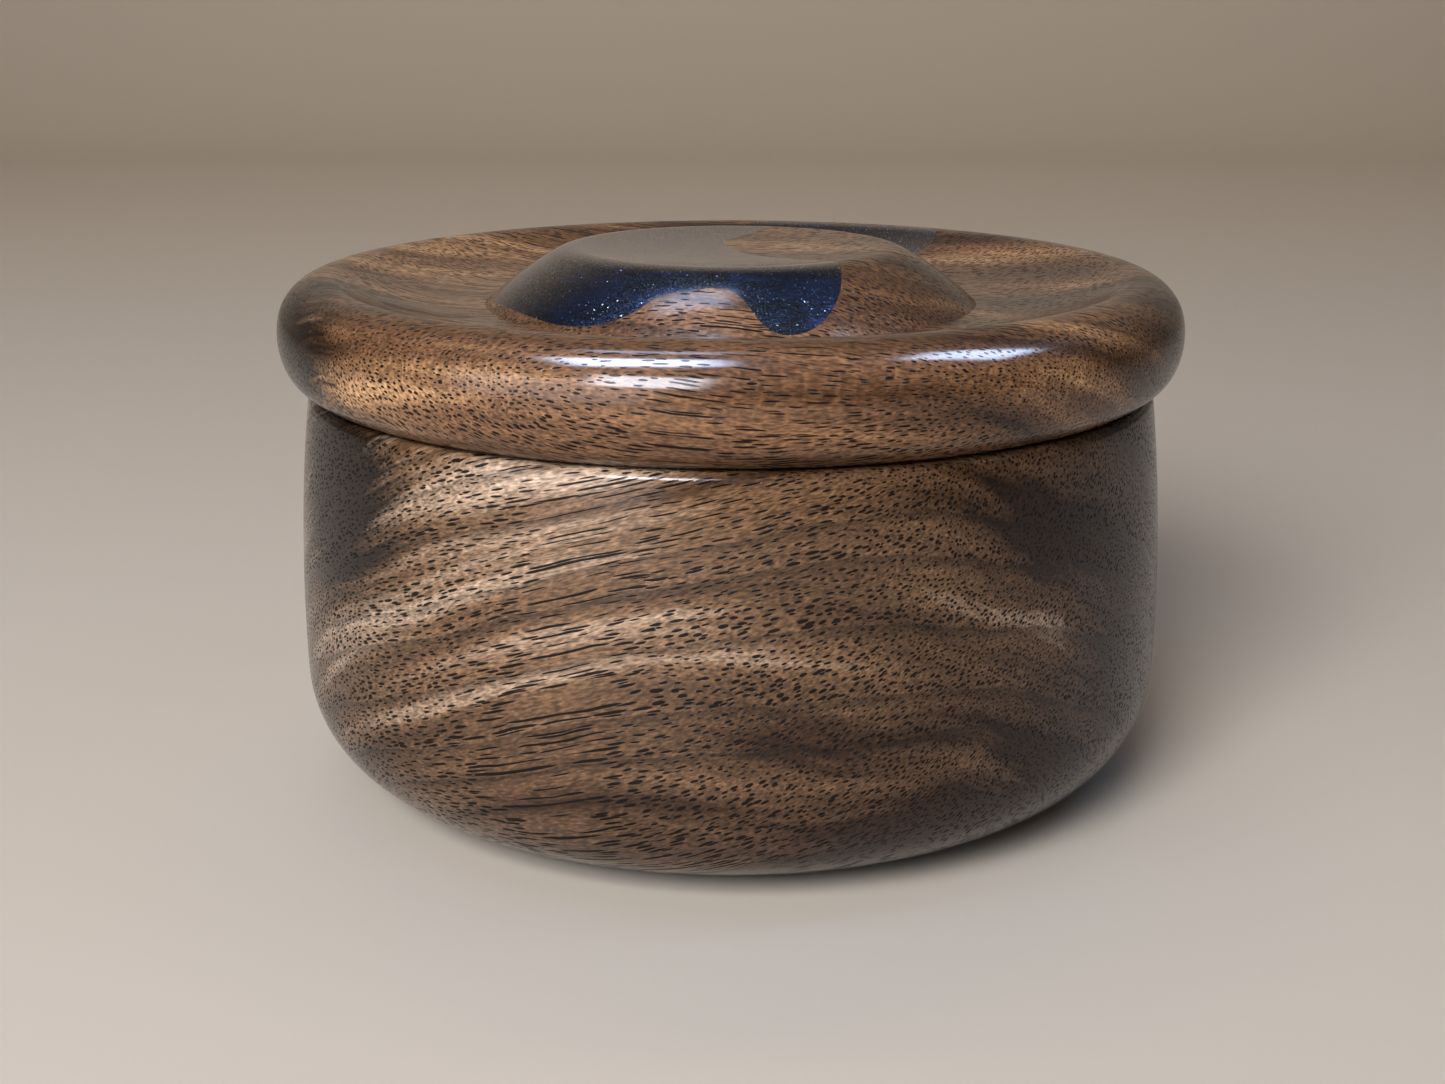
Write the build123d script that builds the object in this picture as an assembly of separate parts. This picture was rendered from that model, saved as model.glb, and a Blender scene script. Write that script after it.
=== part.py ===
from build123d import *
import os
from math import atan2, cos, degrees, radians, sin, sqrt

# A lathe-turned walnut shaving bowl with a lift-off lid, in millimetres.
# Origin: centre of the base, on the surface the bowl stands on. +Z up, the turning axis.
# -Y is the front. A turned profile is drawn as (radius, height) and swept about +Z.

# Bowl, outside
BOWL_HEIGHT = 52.0            # mouth rim, where the lid's shoulder rests
BOWL_RADIUS = 55.5            # widest point of the side
BOWL_WIDEST_HEIGHT = 22.1
SIDE_ARC = 229.0              # the side is one long shallow arc
CORNER_ARC = 14.3             # rolls the side into the underside
UNDERSIDE_ARC = 49.7
CORNER_START = -1.5           # degrees from the horizontal, where the corner arc begins
CORNER_END = -61.0
MOUTH_ROUND_OUT = 1.2
MOUTH_ROUND_IN = 0.8
FOOT_INNER_RADIUS = 33.0      # the bowl stands on the flat ring outside this
FOOT_RECESS = 1.2
FOOT_ROUND = 0.9

# Bowl, inside
WALL = 9.2
FLOOR_HEIGHT = 9.0
FLOOR_ROUND = 7.5

# Shaving soap
SOAP_RADIUS = 38.0            # a 3 inch puck
SOAP_HEIGHT = 22.0
SOAP_ROUND = 3.0
SOAP_WEAR = 2.0               # hollow brushed into the top

# Lid rim, a fat bullnose
LID_RADIUS = 57.0
RIM_FACE_ARC = 9.5
RIM_EDGE_ARC = 5.7            # rolls the face up to the crest and under to the shoulder
RIM_LOW_ANGLE = -21.0         # degrees, where the lower edge arc meets the face arc
RIM_TOP_ANGLE = 13.0
CREST_END_ANGLE = 114.0       # where the crest runs into the dish

# Lid top: a dish around a broad low knob
KNOB_BASE_RADIUS = 31.2
KNOB_BASE_DROP = 4.0          # the knob's base lies this far under the rim's crest
KNOB_CREST_RADIUS = 19.8
KNOB_CREST_RISE = 3.0         # above the rim's crest
KNOB_SHOULDER_ARC = 5.5
KNOB_SHOULDER_ANGLE = 61.0    # degrees, where the shoulder meets the flank
KNOB_HOLLOW = 1.0             # depth of the hollow turned in the knob's top

# Lid underside
SPIGOT_GAP = 0.35             # all round, inside the bowl's mouth
SPIGOT_DEPTH = 4.5
SPIGOT_WALL = 4.5
SPIGOT_ROUND = 0.8
CEILING_HEIGHT = 55.5
CEILING_ROUND = 3.0

# Resin inlay: a natural void in the lid's blank, cast full and turned flush
INLAY_FLOOR_HEIGHT = 58.6
INLAY_CAST_HEIGHT = 12.0      # poured proud of the lid, then turned away
# The void's natural edge seen from above, anticlockwise from the front right lobe.
INLAY_EDGE = [
    (7.3, -29.6), (10.6, -27.2), (12.4, -23.6), (13.1, -20.0), (12.4, -14.6),
    (10.2, -11.0), (6.6, -7.0), (2.9, -2.2), (0.3, 3.2), (-1.0, 8.4),
    (1.6, 13.6), (5.2, 18.8), (10.4, 26.0), (19.0, 31.6), (28.4, 35.4),
    (30.0, 40.0), (22.0, 45.6), (12.0, 49.6), (2.6, 49.4), (-5.0, 42.0),
    (-13.0, 32.6), (-22.6, 20.4), (-28.4, 9.6), (-30.3, -0.6), (-28.6, -9.4),
    (-24.6, -17.4), (-18.1, -24.4), (-13.8, -26.0), (-10.4, -25.5), (-8.0, -24.4),
    (-5.0, -24.6), (-2.4, -24.2), (0.4, -25.0), (2.2, -27.0), (4.2, -29.3),
]


def polar(centre, radius, angle):
    """The point at this radius and angle, in degrees, from a centre."""
    return (centre[0] + radius * cos(radians(angle)), centre[1] + radius * sin(radians(angle)))


def half_chord(radius, offset):
    """Half the width of a circle on a line this far from its centre."""
    return sqrt(radius**2 - offset**2)


def rounded(profile, corner, radius):
    """The profile with the corner nearest to this point rounded."""
    return fillet(profile.vertices().sort_by_distance((*corner, 0))[0], radius)


def turned(profile):
    """The solid that a (radius, height) profile sweeps about the turning axis."""
    return revolve(Plane.XZ * profile, Axis.Z)


side_centre = (BOWL_RADIUS - SIDE_ARC, BOWL_WIDEST_HEIGHT)
mouth_offset = BOWL_HEIGHT - BOWL_WIDEST_HEIGHT
mouth_radius = side_centre[0] + half_chord(SIDE_ARC - WALL, mouth_offset)


def build_bowl():
    """A rounded underside on a flat foot ring, a bellied side and an even wall."""
    corner_centre = polar(side_centre, SIDE_ARC - CORNER_ARC, CORNER_START)
    under_centre = polar(corner_centre, CORNER_ARC - UNDERSIDE_ARC, CORNER_END)
    foot_radius = under_centre[0] + half_chord(UNDERSIDE_ARC, under_centre[1])
    foot_angle = degrees(atan2(-under_centre[1], foot_radius - under_centre[0]))
    rim_angle = degrees(atan2(mouth_offset, half_chord(SIDE_ARC, mouth_offset)))
    outside = [
        Line((0, FOOT_RECESS), (FOOT_INNER_RADIUS, FOOT_RECESS)),
        Line((FOOT_INNER_RADIUS, FOOT_RECESS), (FOOT_INNER_RADIUS, 0)),
        Line((FOOT_INNER_RADIUS, 0), (foot_radius, 0)),
        CenterArc(under_centre, UNDERSIDE_ARC, foot_angle, CORNER_END - foot_angle),
        CenterArc(corner_centre, CORNER_ARC, CORNER_END, CORNER_START - CORNER_END),
        CenterArc(side_centre, SIDE_ARC, CORNER_START, rim_angle - CORNER_START),
    ]

    inner_arc = SIDE_ARC - WALL
    floor_round_drop = BOWL_WIDEST_HEIGHT - FLOOR_HEIGHT - FLOOR_ROUND
    round_centre_x = side_centre[0] + half_chord(inner_arc - FLOOR_ROUND, floor_round_drop)
    round_centre = (round_centre_x, FLOOR_HEIGHT + FLOOR_ROUND)
    round_angle = -degrees(atan2(floor_round_drop, round_centre_x - side_centre[0]))
    mouth_angle = degrees(atan2(mouth_offset, half_chord(inner_arc, mouth_offset)))
    mouth_corner = outside[-1] @ 1
    inside = [
        Line(mouth_corner, (mouth_radius, BOWL_HEIGHT)),
        CenterArc(side_centre, inner_arc, round_angle, mouth_angle - round_angle),
        CenterArc(round_centre, FLOOR_ROUND, -90, 90 + round_angle),
        Line((round_centre_x, FLOOR_HEIGHT), (0, FLOOR_HEIGHT)),
        Line((0, FLOOR_HEIGHT), (0, FOOT_RECESS)),
    ]

    profile = make_face([*outside, *inside])
    profile = rounded(profile, (mouth_corner.X, BOWL_HEIGHT), MOUTH_ROUND_OUT)
    profile = rounded(profile, (mouth_radius, BOWL_HEIGHT), MOUTH_ROUND_IN)
    profile = rounded(profile, (FOOT_INNER_RADIUS, FOOT_RECESS), FOOT_ROUND)
    return turned(profile)


def build_soap():
    """A round puck pressed onto the bowl's floor, hollowed a little by the brush."""
    top = FLOOR_HEIGHT + SOAP_HEIGHT
    profile = make_face([
        Line((0, FLOOR_HEIGHT), (SOAP_RADIUS, FLOOR_HEIGHT)),
        Line((SOAP_RADIUS, FLOOR_HEIGHT), (SOAP_RADIUS, top)),
        TangentArc((0, top - SOAP_WEAR), (SOAP_RADIUS, top), tangent=(1, 0)),
        Line((0, top - SOAP_WEAR), (0, FLOOR_HEIGHT)),
    ])
    profile = rounded(profile, (SOAP_RADIUS, FLOOR_HEIGHT), SOAP_ROUND)
    profile = rounded(profile, (SOAP_RADIUS, top), SOAP_ROUND)
    return turned(profile)


def rim_edges():
    """The bullnose, from the shoulder up over the crest, as three tangent arcs."""
    arc_gap = RIM_FACE_ARC - RIM_EDGE_ARC
    face_height = BOWL_HEIGHT + RIM_EDGE_ARC - arc_gap * sin(radians(RIM_LOW_ANGLE))
    face_centre = (LID_RADIUS - RIM_FACE_ARC, face_height)
    low_centre = polar(face_centre, arc_gap, RIM_LOW_ANGLE)
    crest_centre = polar(face_centre, arc_gap, RIM_TOP_ANGLE)
    return [
        CenterArc(low_centre, RIM_EDGE_ARC, -90, 90 + RIM_LOW_ANGLE),
        CenterArc(face_centre, RIM_FACE_ARC, RIM_LOW_ANGLE, RIM_TOP_ANGLE - RIM_LOW_ANGLE),
        CenterArc(crest_centre, RIM_EDGE_ARC, RIM_TOP_ANGLE, CREST_END_ANGLE - RIM_TOP_ANGLE),
    ], crest_centre[1] + RIM_EDGE_ARC


def top_edges(dish_start, crest_height):
    """The dish, the knob's flank and shoulder, and the shallow hollow in its top."""
    dish_heading = (-sin(radians(CREST_END_ANGLE)), cos(radians(CREST_END_ANGLE)))
    knob_base = (KNOB_BASE_RADIUS, crest_height - KNOB_BASE_DROP)
    knob_crest = crest_height + KNOB_CREST_RISE
    shoulder_centre = (KNOB_CREST_RADIUS, knob_crest - KNOB_SHOULDER_ARC)
    flank_top = polar(shoulder_centre, KNOB_SHOULDER_ARC, KNOB_SHOULDER_ANGLE)
    flank_heading = (sin(radians(KNOB_SHOULDER_ANGLE)), -cos(radians(KNOB_SHOULDER_ANGLE)))

    # The hollow is one arc centred on the axis that touches the shoulder arc.
    shoulder_drop = KNOB_SHOULDER_ARC - KNOB_HOLLOW
    spread = KNOB_CREST_RADIUS**2 + shoulder_drop**2 - KNOB_SHOULDER_ARC**2
    hollow_arc = spread / (2 * KNOB_HOLLOW)
    hollow_centre = (0, knob_crest - KNOB_HOLLOW + hollow_arc)
    hollow_angle = degrees(atan2(KNOB_CREST_RADIUS, hollow_arc + shoulder_drop))
    return [
        TangentArc(dish_start, knob_base, tangent=dish_heading),
        TangentArc(flank_top, knob_base, tangent=flank_heading),
        CenterArc(shoulder_centre, KNOB_SHOULDER_ARC, KNOB_SHOULDER_ANGLE,
                  90 + hollow_angle - KNOB_SHOULDER_ANGLE),
        CenterArc(hollow_centre, hollow_arc, -90, hollow_angle),
    ], knob_crest - KNOB_HOLLOW


def build_lid_blank():
    """The whole lid as turned, before the resin is counted as a piece of its own."""
    rim, crest_height = rim_edges()
    top, centre_height = top_edges(rim[-1] @ 1, crest_height)
    shoulder_start = rim[0] @ 0
    spigot_radius = mouth_radius - SPIGOT_GAP
    spigot_inner = spigot_radius - SPIGOT_WALL
    spigot_end = BOWL_HEIGHT - SPIGOT_DEPTH
    underside = Polyline(
        (0, centre_height),
        (0, CEILING_HEIGHT),
        (spigot_inner, CEILING_HEIGHT),
        (spigot_inner, spigot_end),
        (spigot_radius, spigot_end),
        (spigot_radius, BOWL_HEIGHT),
        (shoulder_start.X, BOWL_HEIGHT),
    )
    profile = make_face([*rim, *top, *underside.edges()])
    profile = rounded(profile, (spigot_inner, CEILING_HEIGHT), CEILING_ROUND)
    profile = rounded(profile, (spigot_inner, spigot_end), SPIGOT_ROUND)
    profile = rounded(profile, (spigot_radius, spigot_end), SPIGOT_ROUND)
    return turned(profile)


def build_void():
    """The natural void as a straight-walled pocket, open upwards."""
    edge = Spline(*INLAY_EDGE, periodic=True)
    return extrude(Pos(0, 0, INLAY_FLOOR_HEIGHT) * make_face(edge), INLAY_CAST_HEIGHT)


def main():
    lid_blank = build_lid_blank()
    void = build_void()
    pieces = {
        "bowl": build_bowl(),
        "soap_puck": build_soap(),
        "lid": lid_blank - void,
        "resin_inlay": lid_blank & void,
    }
    os.makedirs("parts", exist_ok=True)
    for node, shape in pieces.items():
        export_step(shape, f"parts/{node}.step")


main()
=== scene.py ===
"""A lidded shaving bowl turned from walnut, with a blue resin inlay in the lid and a puck of soap inside."""

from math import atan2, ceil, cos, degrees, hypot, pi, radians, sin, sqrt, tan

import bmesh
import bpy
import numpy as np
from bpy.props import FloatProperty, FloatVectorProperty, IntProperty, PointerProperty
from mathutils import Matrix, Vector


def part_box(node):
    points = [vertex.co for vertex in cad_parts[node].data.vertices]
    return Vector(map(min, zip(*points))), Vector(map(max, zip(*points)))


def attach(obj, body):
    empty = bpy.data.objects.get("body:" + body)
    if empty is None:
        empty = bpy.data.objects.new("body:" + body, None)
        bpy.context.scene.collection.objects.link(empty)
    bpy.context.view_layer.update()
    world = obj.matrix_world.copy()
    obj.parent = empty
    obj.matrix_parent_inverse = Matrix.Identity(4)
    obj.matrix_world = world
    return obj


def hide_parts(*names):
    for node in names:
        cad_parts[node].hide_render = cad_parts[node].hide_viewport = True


bl_info = {
    "name": "Turned walnut shaving bowl",
    "version": (1, 0, 0),
    "blender": (4, 5, 0),
    "location": "3D View > Sidebar > Shaving Bowl",
    "description": "Builds a lidded walnut shaving bowl around its measured frame",
    "category": "Add Mesh",
}

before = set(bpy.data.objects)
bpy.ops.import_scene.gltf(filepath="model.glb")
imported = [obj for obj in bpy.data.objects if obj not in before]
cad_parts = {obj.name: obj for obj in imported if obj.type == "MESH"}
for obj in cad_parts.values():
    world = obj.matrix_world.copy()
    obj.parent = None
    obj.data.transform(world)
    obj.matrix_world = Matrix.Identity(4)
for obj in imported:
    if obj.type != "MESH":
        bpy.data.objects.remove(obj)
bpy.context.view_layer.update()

MM = 0.001


def linear(code):
    """An sRGB hex colour as the linear red, green, blue and alpha that shaders take."""
    parts = [int(code[i:i + 2], 16) / 255 for i in (1, 3, 5)]
    return tuple(c / 12.92 if c <= 0.04045 else ((c + 0.055) / 1.055) ** 2.4 for c in parts) + (1.0,)


def colour(name, description, code):
    """A colour setting with its default as an sRGB hex value."""
    return FloatVectorProperty(
        name=name, description=description, subtype="COLOR", size=4, min=0.0, max=1.0, default=linear(code)
    )


def length(name, description, metres):
    return FloatProperty(name=name, description=description, default=metres, unit="LENGTH", min=0.0)


def angle(name, description, turn):
    return FloatProperty(name=name, description=description, default=radians(turn), unit="ROTATION")


def share(name, description, default):
    return FloatProperty(name=name, description=description, default=default, min=0.0)


# --- Settings -------------------------------------------------------------------------------------

class BowlSettings(bpy.types.PropertyGroup):
    dark: colour("Dark heartwood", "Walnut's darkest bands", "#281609")
    middle: colour("Heartwood", "Walnut's usual brown", "#644a33")
    light: colour("Light heartwood", "Walnut's palest bands", "#b89f86")
    veins: colour("Veins", "Where the heartwood runs almost black", "#1b110b")
    pores: colour("Pores", "The open vessels of the wood", "#120b07")
    pore_spacing: length("Pore spacing", "From one vessel to the next", 0.00054)
    pore_width: length("Pore width", "Across one vessel", 0.00028)
    ring_width: length("Ring width", "One year's growth", 0.0062)
    # Painted shade: the wood is drawn darker towards +X, the side away from the key lamp.
    painted_side_shade: share("Painted side shade", "How much darker the wood gets towards +X", 0.26)
    # Painted shade: the wood is drawn darker towards the foot, where little light reaches.
    foot: share("Painted foot shade", "How much darker the wood gets towards the foot", 0.22)
    fibre_yaw: angle("Fibre yaw", "How far the fibres turn from the +X axis", -12.0)
    fibre_rise: angle("Fibre rise", "How steeply the fibres climb along +X", 16.0)
    ring_lean: angle("Ring lean", "How far the rings lean towards the front", 36.0)
    twist: angle("Spiral grain", "How far the fibres turn from the foot to the mouth", -16.0)


class LidSettings(bpy.types.PropertyGroup):
    dark: colour("Dark heartwood", "Walnut's darkest bands", "#2b1a10")
    middle: colour("Heartwood", "Walnut's usual brown", "#6e4e34")
    light: colour("Light heartwood", "Walnut's palest bands", "#bb9065")
    veins: colour("Veins", "Where the heartwood runs almost black", "#1a0f09")
    pores: colour("Pores", "The open vessels of the wood", "#150c07")
    pore_spacing: length("Pore spacing", "From one vessel to the next", 0.00048)
    pore_width: length("Pore width", "Across one vessel", 0.00022)
    ring_width: length("Ring width", "One year's growth", 0.0085)
    # Painted shade: the wood is drawn darker towards +X, the side away from the key lamp.
    painted_side_shade: share("Painted side shade", "How much darker the wood gets towards +X", 0.18)
    # Painted shade towards the foot; the lid has none.
    foot: share("Painted foot shade", "How much darker the wood gets towards the foot", 0.0)
    fibre_yaw: angle("Fibre yaw", "How far the fibres turn from the +X axis", -3.0)
    fibre_rise: angle("Fibre rise", "How steeply the fibres climb along +X", -6.0)
    ring_lean: angle("Ring lean", "How far the rings lean towards the front", 20.0)
    twist: angle("Spiral grain", "How far the fibres turn from the foot to the mouth", 0.0)


class InlaySettings(bpy.types.PropertyGroup):
    deep: colour("Deep blue", "The pigment where the mica is thin", "#02040a")
    pearl: colour("Pearl blue", "The mica where it lies thick", "#0b1a36")
    flake: colour("Flakes", "Single large mica flakes", "#b4c8e6")
    flake_width: length("Flake width", "Across one large flake", 0.00013)


class SoapSettings(bpy.types.PropertyGroup):
    body: colour("Soap", "Milled soap", "#efe6cf")
    shade: colour("Soap shade", "Soap where it is denser", "#dccda8")
    swirl_count: IntProperty(
        name="Brush swirls", description="Arms the brush wears into the top", default=9, min=1
    )
    swirl_depth: length("Swirl depth", "Depth of the brushed arms", 0.00035)


class StageSettings(bpy.types.PropertyGroup):
    floor: colour("Floor", "Plain pale floor and backdrop", "#c2b7a6")
    horizon: colour("Walls", "What the gloss reflects near the horizon", "#b39f86")
    ceiling: colour("Ceiling", "Soft light from above", "#e6e8ea")
    room_light: share("Room light", "Strength of the light all round", 0.06)
    room_seen: share("Room seen", "How bright the room looks past the floor", 0.4)
    camera_distance: length("Camera distance", "From the turning axis", 0.2549)
    camera_height: length("Camera height", "Above the floor", 0.1020)
    camera_pitch: angle("Camera pitch", "How far the camera looks down", 15.91)
    camera_yaw: angle("Camera yaw", "How far the camera turns to the left", 0.23)
    focal_length: length("Focal length", "Of the lens, for a picture 36 mm wide", 0.04983)


# --- Turned shapes --------------------------------------------------------------------------------
# A profile is a list of (radius, height) points in millimetres, from the axis round to the axis.

TURN_STEPS = 288           # round the axis
ARC_STEP = 5.0             # degrees between points on a tight arc
LONGEST_STEP = 1.1         # millimetres between points anywhere on an arc
SHARP_EDGE = radians(25)
SAME_POINT = 0.0001        # millimetres
TURNED_MATCH = 0.93        # cosine between a turned face and its profile's normal
BATCH = 5000               # faces worked on at a time


def polar(centre, radius, turn):
    """The point at this radius and angle, in degrees, from a centre."""
    return (centre[0] + radius * cos(radians(turn)), centre[1] + radius * sin(radians(turn)))


def half_chord(radius, offset):
    """Half the width of a circle on a line this far from its centre."""
    return sqrt(radius**2 - offset**2)


def arc(centre, radius, start, end):
    """Points along a circle from one angle to another, in degrees."""
    sweep = abs(end - start)
    count = max(2, ceil(sweep / ARC_STEP), ceil(radians(sweep) * radius / LONGEST_STEP))
    return [polar(centre, radius, start + (end - start) * i / count) for i in range(count + 1)]


def leaving_arc(start, end, heading):
    """Points along the one arc that leaves start in this heading and reaches end."""
    across = (-heading[1], heading[0])
    step = (end[0] - start[0], end[1] - start[1])
    radius = (step[0]**2 + step[1]**2) / (2 * (step[0] * across[0] + step[1] * across[1]))
    centre = (start[0] + across[0] * radius, start[1] + across[1] * radius)
    first = degrees(atan2(start[1] - centre[1], start[0] - centre[0]))
    last = degrees(atan2(end[1] - centre[1], end[0] - centre[0]))
    last = first + (last - first + 180) % 360 - 180
    return arc(centre, abs(radius), first, last)


def rounded(path, corner, radius):
    """The path with the corner nearest to this point rounded to a radius."""
    at = min(range(len(path)), key=lambda i: hypot(path[i][0] - corner[0], path[i][1] - corner[1]))
    corner = Vector(path[at])
    inward = (Vector(path[at - 1]) - corner).normalized()
    onward = (Vector(path[at + 1]) - corner).normalized()
    half = inward.angle(onward) / 2
    reach = radius / tan(half)
    centre = corner + (inward + onward).normalized() * radius / sin(half)
    start = corner + inward * reach - centre
    end = corner + onward * reach - centre
    first = degrees(atan2(start.y, start.x))
    sweep = (degrees(atan2(end.y, end.x)) - first + 180) % 360 - 180
    before = [p for p in path[:at] if hypot(p[0] - corner.x, p[1] - corner.y) > reach * 1.05]
    after = [p for p in path[at + 1:] if hypot(p[0] - corner.x, p[1] - corner.y) > reach * 1.05]
    steps = max(4, ceil(abs(sweep) / (2 * ARC_STEP)))
    bend = [polar(centre, radius, first + sweep * i / steps) for i in range(steps + 1)]
    return before + bend + after


def joined(*runs):
    """One path from several, with each shared point kept once."""
    path = [runs[0][0]]
    for run in runs:
        path += [p for p in run if hypot(p[0] - path[-1][0], p[1] - path[-1][1]) > SAME_POINT]
    return path


def link(name, mesh):
    """A new object for this mesh, in the scene."""
    made = bpy.data.objects.new(name, mesh)
    bpy.context.scene.collection.objects.link(made)
    return made


def settle(piece):
    """Applies a piece's modifiers for good."""
    before = piece.data
    after = bpy.data.meshes.new_from_object(piece.evaluated_get(bpy.context.evaluated_depsgraph_get()))
    piece.modifiers.clear()
    piece.data = after
    bpy.data.meshes.remove(before)


def turn(name, path, steps=TURN_STEPS):
    """A closed mesh turned from a profile about the +Z axis."""
    mesh = bpy.data.meshes.new(name)
    mesh.from_pydata([(r * MM, 0.0, z * MM) for r, z in path], [(i, i + 1) for i in range(len(path) - 1)], [])
    piece = link(name, mesh)
    lathe = piece.modifiers.new("lathe", "SCREW")
    lathe.axis = "Z"
    lathe.steps = lathe.render_steps = steps
    lathe.use_merge_vertices = True
    lathe.merge_threshold = 0.002 * MM
    lathe.use_normal_calculate = True
    settle(piece)
    piece.data.shade_smooth()
    piece.data.set_sharp_from_angle(angle=SHARP_EDGE)
    return piece


def true_normals(piece, path):
    """Gives every turned face the exact normals of its profile, so that cut edges don't disturb the gloss."""
    mesh = piece.data
    line = np.array(path)
    step = np.diff(line, axis=0)
    long = np.linalg.norm(step, axis=1)
    own = np.stack([step[:, 1], -step[:, 0]], 1) / long[:, None]
    smooth = (own[1:] * own[:-1]).sum(1) > cos(SHARP_EDGE)
    shared = (own[1:] + own[:-1]) / np.linalg.norm(own[1:] + own[:-1], axis=1)[:, None]
    first, last = own.copy(), own.copy()
    first[1:][smooth] = shared[smooth]
    last[:-1][smooth] = shared[smooth]

    # Each face belongs to the stretch of profile that its middle lies on.
    faces = len(mesh.polygons)
    middles, headings = np.empty(faces * 3), np.empty(faces * 3)
    mesh.polygons.foreach_get("center", middles)
    mesh.polygons.foreach_get("normal", headings)
    middles, headings = middles.reshape(-1, 3) / MM, headings.reshape(-1, 3)
    flat = np.stack([np.hypot(middles[:, 0], middles[:, 1]), middles[:, 2]], 1)
    stretch = np.empty(faces, int)
    for some in np.array_split(np.arange(faces), ceil(faces / BATCH)):
        from_start = flat[some, None] - line[None, :-1]
        along = np.clip((from_start * step).sum(2) / long**2, 0, 1)
        stretch[some] = np.linalg.norm(from_start - along[..., None] * step, axis=2).argmin(1)

    corners = len(mesh.loops)
    vertex, count = np.empty(corners, int), np.empty(faces, int)
    mesh.loops.foreach_get("vertex_index", vertex)
    mesh.polygons.foreach_get("loop_total", count)
    places = np.empty(len(mesh.vertices) * 3)
    mesh.vertices.foreach_get("co", places)
    x, y, z = (places.reshape(-1, 3) / MM)[vertex].T
    face = np.repeat(np.arange(faces), count)
    run = stretch[face]
    radius = np.hypot(x, y)
    at = ((np.stack([radius, z], 1) - line[run]) * step[run]).sum(1) / long[run]**2
    at = np.clip(at, 0, 1)[:, None]
    side = first[run] * (1 - at) + last[run] * at
    round_it = np.stack([x, y], 1) / np.maximum(radius, 1e-6)[:, None]
    full = np.concatenate([round_it * side[:, :1], side[:, 1:]], 1)
    full /= np.linalg.norm(full, axis=1)[:, None]
    turned = (full * headings[face]).sum(1) > TURNED_MATCH
    mesh.normals_split_custom_set(np.where(turned[:, None], full, headings[face]).tolist())


# --- Materials ------------------------------------------------------------------------------------

def add(tree, kind, inputs=(), output=0, stops=(), **settings):
    """Adds one node with its settings and links, and gives back the output that is wanted."""
    made = tree.nodes.new(kind)
    for key, value in settings.items():
        setattr(made, key, value)
    for socket, value in dict(inputs).items():
        if isinstance(value, bpy.types.NodeSocket):
            tree.links.new(value, made.inputs[socket])
        else:
            made.inputs[socket].default_value = value
    for at, (place, tone) in enumerate(stops):
        ramp = made.color_ramp.elements
        stop = ramp[at] if at < 2 else ramp.new(place)
        stop.position = place
        stop.color = tone
    return made.outputs[output] if made.outputs else made


def new_material(name):
    """An empty node material and its tree."""
    material = bpy.data.materials.new(name)
    material.use_nodes = True
    material.node_tree.nodes.clear()
    return material, material.node_tree


def grain_axes(wood):
    """The turn from the object's axes to the wood's, and the fibre direction. The wood's own X runs with the
    rings, its Y out through them and its Z along the fibres."""
    level = cos(wood.fibre_rise)
    fibre = Vector((cos(wood.fibre_yaw) * level, sin(wood.fibre_yaw) * level, sin(wood.fibre_rise)))
    up = Vector((0.0, sin(wood.ring_lean), cos(wood.ring_lean)))
    radial = (up - fibre * up.dot(fibre)).normalized()
    return Matrix((radial.cross(fibre), radial, fibre)).to_euler(), fibre


# The wood's patterns, in millimetres. A span goes along the rings, out through them and along the fibres.
SWEEP_SPAN = (30, 30, 50)
SWEEP_REACH = 8.0
RIPPLE_SPAN = (4, 4, 9)
RIPPLE_REACH = 1.1
BAND_SPAN = (30, 4, 110)
STRAND_SPAN = (0.26, 0.26, 1.0)
RAY_SPAN = (0.25, 2.6, 0.7)
PATCH_SPAN = 38.0
PITH_DEPTH = 140.0
UNEVEN_YEARS = 17.0

# Places in the piece, in metres: where the painted shade on the +X side starts and stops, where the painted
# shade at the foot ends, and where the twist ends.
SIDE_SHADE_START = -20 * MM
SIDE_SHADE_END = 55 * MM
FOOT_SHADE_END = 26 * MM
BOWL_MOUTH = 52 * MM


def per(span):
    """How often a pattern of this span repeats in a millimetre, each way."""
    return tuple(1 / size for size in span)


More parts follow.
